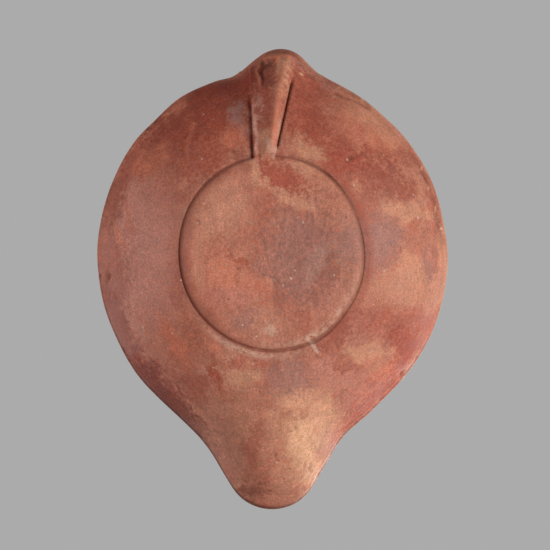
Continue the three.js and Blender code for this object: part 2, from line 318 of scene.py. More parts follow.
def discus_row(t, angle):
    reach = mix(DISCUS_RADIUS, FILLING_HOLE_RADIUS + HOLE_ROUND, t)
    share = 1 - reach / DISCUS_RADIUS
    drop = mix(DISCUS_EDGE_DROP, DISCUS_DROP, math.sin(math.pi / 2 * share))
    lip = 0.5 * bump(reach - FILLING_HOLE_RADIUS - 1.4, 0.8)
    return reach, SHOULDER_HEIGHT - drop + lip


def mouth_row(t, angle):
    """The rounded edge of the filling hole, from the discus down to the inside."""
    round_off = HOLE_ROUND * (1 - math.sin(math.pi * t))
    return FILLING_HOLE_RADIUS + round_off, mix(SHOULDER_HEIGHT - DISCUS_DROP + 0.3, UNDER_DISCUS, t)


def ceiling_row(t, angle):
    reach = mix(FILLING_HOLE_RADIUS + 1.5, DISCUS_RADIUS, t)
    return reach, mix(UNDER_DISCUS, SHOULDER_HEIGHT - WALL, t**2)


def inner_shoulder_row(v, angle):
    reach = mix(outline(angle, WALL, tail=False), DISCUS_RADIUS, v)
    height = mix(RIM_HEIGHT + INNER_START, SHOULDER_HEIGHT - WALL, 1 - (1 - v) ** SHOULDER_ROUND)
    return reach, pressed_flat(angle, reach, height, SHOULDER_HEIGHT - WICK_LAND_DROP - WALL)


def inner_bowl_row(u, angle):
    reach = mix(ring_reach(angle) - WALL, outline(angle, WALL, tail=False), u)
    return reach, mix(FLOOR_HEIGHT, RIM_HEIGHT + INNER_START, 0.45 * u + 0.55 * u**3)


def inner_floor_row(t, angle):
    return (ring_reach(angle) - WALL) * t, FLOOR_HEIGHT


# %% Line up the rows
CLOSE = 0.11  # rows stand this close to each other across the cut line
EDGE_OFFSETS = [-BASE_END, -3.0, -2.6, -2.2, -1.8, -1.4, -1.1, -0.85]

STRETCHES = [
    (base_row, np.linspace(0, 1, 23)[:-1]),
    (edge_row, EDGE_OFFSETS),
    (edge_row, [step * CLOSE for step in range(-6, 8)]),
    (bowl_row, [1.25 * t - 0.25 * t**2 for t in np.linspace(0, 1, 60)]),
    (rim_row, np.linspace(0, 1, 6)),
    (shoulder_row, np.linspace(0, 1, 30)[1:]),
    (bead_row, np.linspace(0, 1, 9)[1:]),
    (discus_row, np.linspace(0, 1, 13)[1:]),
    (mouth_row, np.linspace(0.1, 1, 6)),
    (ceiling_row, np.linspace(0, 1, 4)),
    (inner_shoulder_row, np.linspace(1, 0, 6)[1:]),
    (inner_bowl_row, np.linspace(1, 0, 8)[1:]),
    (inner_floor_row, [0.5, 0.0]),
]
rows = [(row, step) for row, steps in STRETCHES for step in steps]
print("rows:", len(rows))


def row_place(number, angle):
    """A row's distance from the axis and its height, in every direction of `angle`."""
    row, step = rows[number]
    reach, height = row(step, angle)
    return reach + 0 * angle, height + 0 * angle


# %% [markdown]
# ## Turning the body
#
# The profile is drawn as one line of points on the +X side, by extruding a single point again and again,
# and Spin sweeps it round the axis. A number on every point remembers its row. Spin leaves doubles on the
# axis, where every copy of the end points lies in one place, so they are merged, and the faces are turned
# outwards.

# %% Small helpers for edit mode
COLUMNS = 480


def choose(piece):
    """Make one object the only selected one and the active one."""
    bpy.ops.object.select_all(action="DESELECT")
    piece.select_set(True)
    bpy.context.view_layer.objects.active = piece


def start_edit(piece, select="SELECT"):
    """Edit one object alone, with everything in it selected unless told otherwise."""
    choose(piece)
    bpy.ops.object.mode_set(mode="EDIT")
    bpy.ops.mesh.select_all(action=select)


def end_edit():
    bpy.ops.object.mode_set(mode="OBJECT")


def face_outwards():
    """Turn all faces of the edited object outwards, and end the editing."""
    bpy.ops.mesh.select_all(action="SELECT")
    bpy.ops.mesh.normals_make_consistent(inside=False)
    end_edit()


def vectors_of(piece, name):
    """One vector for every point of the piece: its place (co) or its normal."""
    flat = np.empty(len(piece.data.vertices) * 3)
    piece.data.vertices.foreach_get(name, flat)
    return flat.reshape(-1, 3)


def points_of(piece):
    """The piece's points in millimetres, measured from the body's axis."""
    return vectors_of(piece, "co") / MM - [0, AXIS_Y, 0]


def move_points(piece, points):
    """Put the piece's points at new places, given as points_of gives them."""
    piece.data.vertices.foreach_set("co", ((points + [0, AXIS_Y, 0]) * MM).ravel())
    piece.data.update()


# %% Draw the profile and spin it
side = np.array([np.pi / 2])
profile = [np.concatenate(row_place(number, side)).tolist() for number in range(len(rows))]

bpy.ops.mesh.primitive_plane_add(size=MM, location=(0, AXIS_Y * MM, 0))
body = bpy.context.active_object
body.name = "terracotta_lamp"
start_edit(body)
bpy.ops.mesh.merge(type="CENTER")
bpy.ops.transform.translate(value=(profile[0][0] * MM, 0, profile[0][1] * MM))
for (x_before, z_before), (x, z) in zip(profile, profile[1:]):
    step = ((x - x_before) * MM, 0, (z - z_before) * MM)
    bpy.ops.mesh.extrude_vertices_move(TRANSFORM_OT_translate={"value": step})
end_edit()
bpy.ops.object.transform_apply()

# Blender doesn't keep the points in the order they were made, so each one looks for its place in the profile.
drawn = points_of(body)[:, [0, 2]]
row_number = body.data.attributes.new("row", "FLOAT", "POINT")
for number, place in enumerate(profile):
    nearest = np.argmin(np.hypot(*(drawn - place).T))
    row_number.data[nearest].value = number

start_edit(body)
bpy.ops.mesh.spin(steps=COLUMNS, angle=2 * math.pi, center=(0, AXIS_Y * MM, 0), axis=(0, 0, 1))
bpy.ops.mesh.select_all(action="SELECT")
bpy.ops.mesh.remove_doubles(threshold=0.002 * MM)
face_outwards()
print("turned body:", len(body.data.vertices), "points,", len(body.data.polygons), "faces")

# %% [markdown]
# ## Pressing it into its outline
#
# Now every point of a row goes to the place that the row's function gives for its direction. The columns
# are drawn together towards the nozzle and the tail first, because the sharpest details are there.

# %% Press the turned body
CROWDING = 0.3

points = points_of(body)
row_of = np.empty(len(points))
body.data.attributes["row"].data.foreach_get("value", row_of)
angle = np.arctan2(points[:, 0], -points[:, 1])
angle = angle - CROWDING * np.sin(2 * angle)
for number in range(len(rows)):
    here = np.abs(row_of - number) < 0.5
    reach, height = row_place(number, angle[here])
    points[here] = np.column_stack([reach * np.sin(angle[here]), -reach * np.cos(angle[here]), height])
move_points(body, points)
print("pressed body, mm:", np.ptp(points, axis=0).round(1))

# %% [markdown]
# ## The lug
#
# The handle is a solid tongue of clay that stands up over the tail and leans back a little. It is built
# from an oval ring of points, extruded upwards from inside the tail and made wider or narrower at each
# step, and subdivision rounds it. A boolean union makes it one skin with the body, and the crease between
# them is smoothed, as a thumb does it in wet clay.

# %% Build the lug
LUG_SECTIONS = [
    # height, distance from the axis, half-width, half-thickness
    (17.0, 40.0, 4.8, 3.9),
    (20.0, 43.0, 5.8, 4.6),
    (23.5, 45.0, 6.5, 5.2),
    (27.5, 45.8, 6.6, 5.3),
    (31.0, 46.2, 6.2, 5.0),
    (34.5, 46.5, 5.6, 4.5),
    (37.4, 46.7, 4.4, 3.5),
    (39.0, 46.7, 2.4, 1.9),
]
LUG_LEAN_X = math.sin(TAIL_LEAN)


def section_centre(height, reach):
    return Vector((reach * LUG_LEAN_X * MM, (AXIS_Y + reach) * MM, height * MM))


height, reach, half_width, half_thickness = LUG_SECTIONS[0]
pivot = section_centre(height, reach)
bpy.ops.mesh.primitive_circle_add(vertices=36, radius=MM, fill_type="NGON", location=pivot)
lug = bpy.context.active_object
lug.name = "lug"
bpy.ops.object.transform_apply()
start_edit(lug)
bpy.ops.transform.resize(value=(half_width, half_thickness, 1), center_override=pivot)
for height, reach, next_width, next_thickness in LUG_SECTIONS[1:]:
    next_pivot = section_centre(height, reach)
    bpy.ops.mesh.extrude_region_move(TRANSFORM_OT_translate={"value": next_pivot - pivot})
    change = (next_width / half_width, next_thickness / half_thickness, 1)
    bpy.ops.transform.resize(value=change, center_override=next_pivot)
    half_width, half_thickness, pivot = next_width, next_thickness, next_pivot
face_outwards()


def apply_modifier(piece, kind, **settings):
    """Add a modifier to a piece, set it and apply it."""
    choose(piece)
    modifier = piece.modifiers.new(kind.lower(), kind)
    for name, value in settings.items():
        setattr(modifier, name, value)
    bpy.ops.object.modifier_apply(modifier=modifier.name)


def join_or_cut(piece, operation, other):
    """Join another object to a piece (UNION) or cut it out of the piece (DIFFERENCE), and remove it."""
    apply_modifier(piece, "BOOLEAN", operation=operation, solver="MANIFOLD", object=other)
    bpy.data.objects.remove(other)


apply_modifier(lug, "SUBSURF", levels=2)
print("lug:", len(lug.data.polygons), "faces")

# %% Join the lug to the body and cut the wick hole
CUTTER_FOOT = 17.0
CUTTER_STEP = 0.75
CUTTER_STEPS = 20

join_or_cut(body, "UNION", lug)
wick_place = (0, (AXIS_Y - WICK_HOLE_REACH) * MM, CUTTER_FOOT * MM)
wick_radius = WICK_HOLE_RADIUS * MM
bpy.ops.mesh.primitive_circle_add(vertices=96, radius=wick_radius, fill_type="NGON", location=wick_place)
wick_cutter = bpy.context.active_object
start_edit(wick_cutter)
for step in range(CUTTER_STEPS):
    bpy.ops.mesh.extrude_region_move(TRANSFORM_OT_translate={"value": (0, 0, CUTTER_STEP * MM)})
face_outwards()
join_or_cut(body, "DIFFERENCE", wick_cutter)
print("lamp:", len(body.data.vertices), "points,", len(body.data.polygons), "faces")

# %% Soften the joint around the lug and the edge of the wick hole
JOINT_X = 46 * LUG_LEAN_X
JOINT_Y = 45.4
JOINT_HALF_WIDTH = 6.6
JOINT_HALF_THICKNESS = 5.3
JOINT_FOOT = 19.0
JOINT_TOP = 29.0
WICK_EDGE_WIDTH = 0.9
WICK_EDGE_FOOT = 22.4


def soften(piece, chosen, passes):
    """Smooth the chosen points."""
    start_edit(piece, "DESELECT")
    end_edit()
    piece.data.vertices.foreach_set("select", chosen)
    bpy.ops.object.mode_set(mode="EDIT")
    bpy.ops.mesh.vertices_smooth(factor=0.5, repeat=passes)
    end_edit()


points = points_of(body)
x, y, z = points.T
from_lug = np.hypot((x - JOINT_X) / JOINT_HALF_WIDTH, (y - JOINT_Y) / JOINT_HALF_THICKNESS)
near_joint = (from_lug > 0.8) & (from_lug < 1.5) & (z > JOINT_FOOT) & (z < JOINT_TOP)
soften(body, near_joint, 12)
from_wick = np.hypot(x, y + WICK_HOLE_REACH) - WICK_HOLE_RADIUS
soften(body, (np.abs(from_wick) < WICK_EDGE_WIDTH) & (z > WICK_EDGE_FOOT), 6)
print("softened points:", int(near_joint.sum()))

# %% [markdown]
# ## Tool marks and the ridge
#
# A ridge runs from the ring up to the lug. One side of it is a crisp cut line, and the other a soft line
# with a low step beside it, and under the lug is a hollow where a finger pressed. All of this is low
# relief, so the points are moved along their normals, by heights worked out from their place in plan,
# like sculpting by rule.

# %% Strokes and the ridge
def along(y, start, end, value_start, value_end):
    """A value that changes evenly from one place along the lamp to another, and goes on the same way."""
    return mix(value_start, value_end, (y - start) / (end - start))


def stroke(x, y, places, width, fades=None):
    """How far a tool stroke through some places is felt here, 1 in its middle. Its two ends may fade out."""
    nearest = np.full_like(x, np.inf)
    run = np.zeros_like(x)
    length = 0.0
    for (x0, y0), (x1, y1) in zip(places, places[1:]):
        part = math.hypot(x1 - x0, y1 - y0)
        share = np.clip(((x - x0) * (x1 - x0) + (y - y0) * (y1 - y0)) / part**2, 0, 1)
        distance = np.hypot(x - mix(x0, x1, share), y - mix(y0, y1, share))
        run = np.where(distance < nearest, length + share * part, run)
        nearest = np.minimum(nearest, distance)
        length += part
    felt = bump(nearest, width)
    if fades:
        felt = felt * smooth(run / fades[0] + 0.1) * smooth((length - run) / fades[1] + 0.1)
    return felt


STRIP_TOP = 1.0
STRIP_FOOT = 0.3
RIDGE_CREST = 1.9


def ridge_relief(x, y, surface):
    """Height of the ridge, outwards, where the bowl without it is `surface` above the table."""
    soft_line = along(y, 24.6, 37.9, 4.75, 5.35)
    step = along(y, 24.6, 43, 3.0, 3.3)
    crest = along(y, 26, 46, 0.3, -2.3)
    crisp_line = along(y, 26.2, 42.8, -1.1, -4.75)
    slope = smooth((soft_line - x) / (soft_line - step))
    strip = smooth((soft_line - x) / 0.7) * mix(STRIP_TOP, STRIP_FOOT, slope)
    climb = (RIDGE_CREST - STRIP_FOOT) * np.clip((step - x) / (step - crest), 0, 2) ** 0.9
    fall = RIDGE_CREST * np.clip((x - crisp_line) / (crest - crisp_line) * 1.15, 0, None)
    fall = fall + 0.4 * smooth((y - 40) / 4)
    height = -rounded_max(-(strip + climb), -fall, 0.7)
    height = height * smooth((x + 9) / 4)
    height = np.minimum(np.clip(height, 0, None), 0.88 * surface)
    return height * smooth((y - 22.5) / 1.5) * mix(1, 0.4, smooth((y - 45.5) / 5))


def side_cuts(x, y):
    """The two lines cut beside the ridge: a soft one towards +X and a crisp, deeper one towards -X."""
    soft = stroke(x, y, [(4.6, 23.4), (4.85, 29.0), (5.25, 35.0), (5.5, 40.5)], 0.36, (0.3, 6))
    crisp = stroke(x, y, [(-0.9, 25.4), (-2.9, 34.5), (-4.85, 43.4)], 0.25, (2.2, 2.2))
    return soft, crisp


def hollow(x, y):
    """The place under the lug where a finger pressed: a sharp wall at +X and a ledge towards the tip."""
    wall = 2.7 + 0.8 * bump(y - 45.2, 1.6)
    inner = smooth((x + 2.2) / 2.6) * smooth((wall - x) / 0.6)
    return inner * smooth((y - 39.5) / 4.5) * smooth((48.1 + 0.1 * x - y) / 0.5)


# %% [markdown]
# ## Small damage
#
# Pits, nicks and scratches are strokes as well, short or long. Along the rim, chips have broken the thin
# edge where the two halves of the lamp were joined.

# %% Pits, scratches and chips
# Each mark: where it starts, where it ends, its half-width and its depth, all in millimetres.
MARKS = [
    ((17.9, 8.6), (17.6, 8.2), 0.45, 0.5),
    ((15.4, 12.8), (16.3, 11), 0.35, 0.25),
    ((-17.6, 23.1), (-21.8, 25.3), 0.3, 0.35),
    ((-18.4, 24.2), (-18.5, 24.3), 0.5, 0.5),
    ((-7.6, 11.4), (-9.2, 5.5), 0.25, 0.12),
    ((-5.4, -40.6), (-5.5, -40.9), 0.4, 0.5),
    ((-0.6, -47.2), (-0.6, -47.4), 0.35, 0.4),
    ((-7.9, -49.3), (-7.7, -50.3), 0.22, 0.4),
    ((-8.6, -50.6), (-9.3, -51.6), 0.25, 0.4),
    ((-8.9, -49.6), (-9.2, -50.2), 0.18, 0.3),
    ((-31.4, -27.8), (-31.2, -28.2), 0.5, 0.5),
    ((-9, -20.4), (-11.2, -23.6), 0.35, -0.2),
    ((-9.6, -22.6), (-8.9, -23.8), 0.3, -0.2),
    ((39.5, -3.9), (39.8, -5.2), 0.4, 0.8),
    ((-36.2, 21.2), (-37.6, 18.6), 0.45, 0.55),
    ((-38, 15.4), (-38.6, 13.6), 0.3, 0.3),
    ((-39, 11.8), (-40.6, 6.6), 0.3, 0.4),
    ((-15.2, 40.2), (-18.2, 38.8), 0.45, 0.4),
    ((-19.4, 38.6), (-23.4, 36.4), 0.4, 0.35),
    ((-9, 44.8), (-9.8, 44.2), 0.4, 0.35),
    ((25, 35.8), (24.2, 35), 0.6, 0.25),
]
# Chips in the edge of the rim: direction and spread in degrees, and depth.
RIM_CHIPS = [(84, 1.1, 0.5), (-154, 2.2, 0.35), (-149, 1.0, 0.3), (-119, 1.4, 0.4), (-103, 2.0, 0.3)]
RIM_CHIPS += [(-97, 0.9, 0.4), (58, 1.2, 0.3), (-38, 1.2, 0.3), (-60, 0.8, 0.2), (141, 1.6, 0.3)]
RIM_CHIPS += [(22, 1.0, 0.2), (-12, 0.9, 0.25)]
CHIP_WIDTH = 0.9


def small_damage(x, y, angle, from_rim):
    depth = np.zeros_like(x)
    for start, end, width, deep in MARKS:
        depth = depth + deep * stroke(x, y, [start, end], width)
    for direction, spread, deep in RIM_CHIPS:
        depth = depth + deep * around(angle, direction, spread) * bump(from_rim, CHIP_WIDTH)
    return depth


def slow_waves(points):
    """The slow waves of a surface finished by hand, in millimetres."""
    shift = Vector((0.3, 5.1, 2.7))
    long_waves = np.array([noise.noise(Vector(point) / 11 + shift) for point in points])
    short_waves = np.array([noise.noise(Vector(point) / 3.5) for point in points])
    return long_waves * 0.22 + short_waves * 0.05


# %% Move the points along their normals
SKIN = 2.2  # what lies further than this above the underside belongs to the inside or the top

points = points_of(body)
normals = vectors_of(body, "normal")
x, y, z = points.T
reach = np.hypot(x, y)
angle = np.arctan2(x, -y)
off_ring = reach - ring_reach(angle)
from_rim = outline(angle) - reach
surface = underside(angle, reach)
below = smooth((surface + SKIN - z) / 0.8) * smooth((0.3 - normals[:, 2]) / 0.3)
on_tail = below * (y > 20)

soft_cut, crisp_cut = side_cuts(x, y)
cuts = (0.9 * soft_cut + 0.85 * crisp_cut) * on_tail
clear_of_rim = smooth((from_rim - 0.4) / 2.6)
ridge = (ridge_relief(x, y, surface) - 1.25 * hollow(x, y)) * on_tail * clear_of_rim
damage = small_damage(x, y, angle, from_rim) * below
relief = ridge - cuts - damage
relief = relief + slow_waves(points) * mix(0.3, 1, smooth((off_ring - 0.5) / 3))
points = points + normals * relief[:, None]
points[:, 2] = points[:, 2] - points[:, 2].min()
move_points(body, points)
body.data.attributes.remove(body.data.attributes["row"])

# The finish needs to know some of these places again, so they stay on the points as numbers.
# How much darker the cut line is painted, for dirt in it and for painted shade in it: direction and spread in
# degrees, and the change.
LINE_DARKENING = [(180, 12, -0.45), (-146, 16, 0.3), (-100, 34, 0.1), (84, 22, 0.12), (120, 16, -0.1)]
ring_cut = bump(off_ring, 0.55) * worked(LINE_SHARE, angle, LINE_DARKENING)
on_crest = stroke(x, y, [(0.0, 25.0), (-1.0, 35.0), (-2.2, 46.0)], 0.8, (2, 3)) * on_tail
# Painted highlight on the lit edges of the ledge and of the crease under the lug, added to the crest.
lit_ledge_edges = stroke(x, y, [(1.2, 48.6), (-1.8, 48.7)], 0.35)
lit_ledge_edges = lit_ledge_edges + stroke(x, y, [(2.9, 46.9), (3.9, 45.2), (3.1, 43.0), (2.9, 39.5)], 0.4, (0.5, 3))
on_crest = np.maximum(on_crest, lit_ledge_edges * on_tail)
# The dark crease under the ledge of the hollow is painted shade; it joins the darkening of the cut lines.
crease_shade = stroke(x, y, [(-1.4, 47.9), (1.0, 47.6), (2.7, 46.2), (2.8, 44.6)], 0.32, (1, 1)) * on_tail
on_bead = bump(reach - DISCUS_RADIUS - BEAD_WIDTH / 2, 0.9) * (z > SHOULDER_HEIGHT - 0.5)
# Whitish wear on a band just outside the line towards the nozzle, and a painted highlight on a band just
# inside it towards -X, where the base's edge faces the main light.
rubbed_outside = bump(off_ring - 1.2, 0.7) * around(angle, 16, 26)
lit_inside_edge = bump(off_ring + 1.3, 0.8) * around(angle, -34, 36)
open_seam = 0.2 + 0.8 * around(angle, -113, 17)
inward = np.where(z < RIM_HEIGHT + 0.6, normals[:, 2] > 0.05, (normals[:, 2] < 0.05) & (z > surface + SKIN))
layers = {
    "groove_dirt_and_shade": np.clip(ring_cut * below + (0.8 * soft_cut + crisp_cut + crease_shade) * on_tail, 0, 1),
    "pit": np.clip(damage / 0.5, 0, 1),
    "crest": np.clip(np.maximum(on_crest, 0.7 * on_bead), 0, 1),
    "base_edge": smooth(1 + off_ring / EDGE_WIDTH) * (off_ring < 0.2) * below,
    "outside_line": bump(off_ring - 1.4, 0.9) * below,
    "rubbed_and_lit": np.maximum(rubbed_outside, 0.7 * lit_inside_edge) * below,
    "edge_wear_and_highlight": smooth((0.6 - from_rim) / 0.3) * around(angle, -104, 44),
    # Painted shadow along the rim's edge, towards the nozzle and +X.
    "edge_shade": smooth((1.0 - from_rim) / 0.7) * around(angle, 14, 46) * below,
    "seam": smooth((from_rim - 0.7) / 0.4) * smooth((1.9 - from_rim) / 0.5) * open_seam * below,
    "inside": smooth((from_rim - 2.4) / 0.5) * inward * (reach < outline(angle, WALL / 2, tail=False)),
    "from_rim": from_rim,
    "round": angle,
}
for name, values in layers.items():
    layer = body.data.attributes.new(name, "FLOAT", "POINT")
    layer.data.foreach_set("value", values)
bpy.ops.object.shade_smooth()
triangles = sum(len(face.vertices) - 2 for face in body.data.polygons)
print("relief, mm:", relief.min().round(2), "to", relief.max().round(2), "triangles:", triangles)

# %% [markdown]
# ## Fired clay with a worn slip
#
# Terracotta is iron-rich clay, fired red-brown and matt. Before firing it was dipped in a slip, a thin
# coat of fine clay, which is now worn to patches: deep red where it stays thick, orange where it is thin,
# and tan to cream where the bare clay shows. The patches are ovals at chosen places on the underside.
# Noise bends them and breaks their edges into grains, so that they look rubbed away and not painted on.
# Some of the darker patches are painted shade, where the side, the hollow under the lug and the nozzle's
# flank turn away from the main light.


# %% Helpers for colours and nodes
def linear(hex_colour):
    """An sRGB hex colour as the linear colour that a shader takes."""
    channels = [int(hex_colour[i : i + 2], 16) / 255 for i in (1, 3, 5)]
    return [c / 12.92 if c <= 0.04045 else ((c + 0.055) / 1.055) ** 2.4 for c in channels] + [1.0]


def per(size):
    """The texture scale that makes a pattern's features about this many millimetres wide."""
    return 1 / (size * MM)


def add(tree, kind, inputs=None, **settings):
    """Add a shader node of a kind such as TexNoise with its settings, and set or link its inputs."""
    node = tree.nodes.new("ShaderNode" + kind)
    for name, value in settings.items():
        setattr(node, name, value)
    for name, value in (inputs or {}).items():
        if isinstance(value, bpy.types.NodeSocket):
            tree.links.new(value, node.inputs[name])
        else:
            node.inputs[name].default_value = value
    return node


def mix_shaders(tree, share, first, second, output):
    """Mix two shaders and send them to the output of their tree."""
    mixed = add(tree, "MixShader", {0: share, 1: first.outputs[0], 2: second.outputs[0]})
    tree.links.new(mixed.outputs[0], tree.nodes[output].inputs["Surface"])


# %% The clay's material, and helpers that add to its nodes
terracotta = bpy.data.materials.new("fired terracotta with worn slip")
terracotta.use_nodes = True
tree = terracotta.node_tree


def mix_colour(share, below, above):
    """Lay one colour over another."""
    return add(tree, "Mix", {0: share, 6: below, 7: above}, data_type="RGBA").outputs[2]


def scaled(value, low, high, out_low=0.0, out_high=1.0):
    """Stretch the part of a value between low and high to a new range, with soft ends."""
    inputs = {0: value, 1: low, 2: high, 3: out_low, 4: out_high}
    return add(tree, "MapRange", inputs, interpolation_type="SMOOTHSTEP").outputs[0]


def calculate(operation, *values):
    """One step of arithmetic, such as ADD or MULTIPLY."""
    return add(tree, "Math", dict(enumerate(values)), operation=operation).outputs[0]


def times(a, b):
    return calculate("MULTIPLY", a, b)


def measure(operation, *vectors):
    """A number from one or two vectors, such as LENGTH or DISTANCE."""
    return add(tree, "VectorMath", dict(enumerate(vectors)), operation=operation).outputs["Value"]


def vector(*values):
    return add(tree, "CombineXYZ", dict(enumerate(values))).outputs[0]


def part(axis, where):
    """One of the three numbers of a place: X, Y or Z."""
    return add(tree, "SeparateXYZ", {0: where}).outputs[axis]


def lay(colour, share, strength, paint):
    """Lay a paint over a colour, as strongly as the share times the strength."""
    return mix_colour(times(share, strength), colour, linear(paint))


def brightened(colour, factor, redness):
    """The colour times a factor, and made redder or paler by another."""
    inputs = {"Color": colour, "Value": factor, "Saturation": redness}
    return add(tree, "HueSaturation", inputs).outputs[0]


def noise_value(where, size, detail=2.0, roughness=0.5):
    inputs = {"Vector": where, "Scale": per(size), "Detail": detail, "Roughness": roughness}
    return add(tree, "TexNoise", inputs).outputs["Fac"]


def kept(name):
    """The number that the mesh keeps on its points under this name."""
    return add(tree, "Attribute", attribute_name=name).outputs["Fac"]


# %% Colours and patches
CLAY = "#B26C56"
CLAY_ROSE = "#C68272"
SLIP_DARK = "#943E2D"
SLIP = "#A44E3A"
SLIP_BROWN = "#9A513F"
SLIP_ORANGE = "#C46B50"
SLIP_LIGHT = "#D17C5F"
SLIP_FRESH = "#E58262"
TAN = "#C18268"
SAND = "#CB8C6E"
CREAM = "#DDA480"
MAUVE = "#9F6A5D"
LILAC = "#A87C71"
BROWN = "#A66C56"
UMBER = "#844836"
SHADOW_RED = "#7A3527"
WHITISH = "#D8B49E"
# A dark brown for dirt in the lines and for painted shade.
DIRT_AND_SHADE_BROWN = "#55281B"
SOOT = "#2E211D"

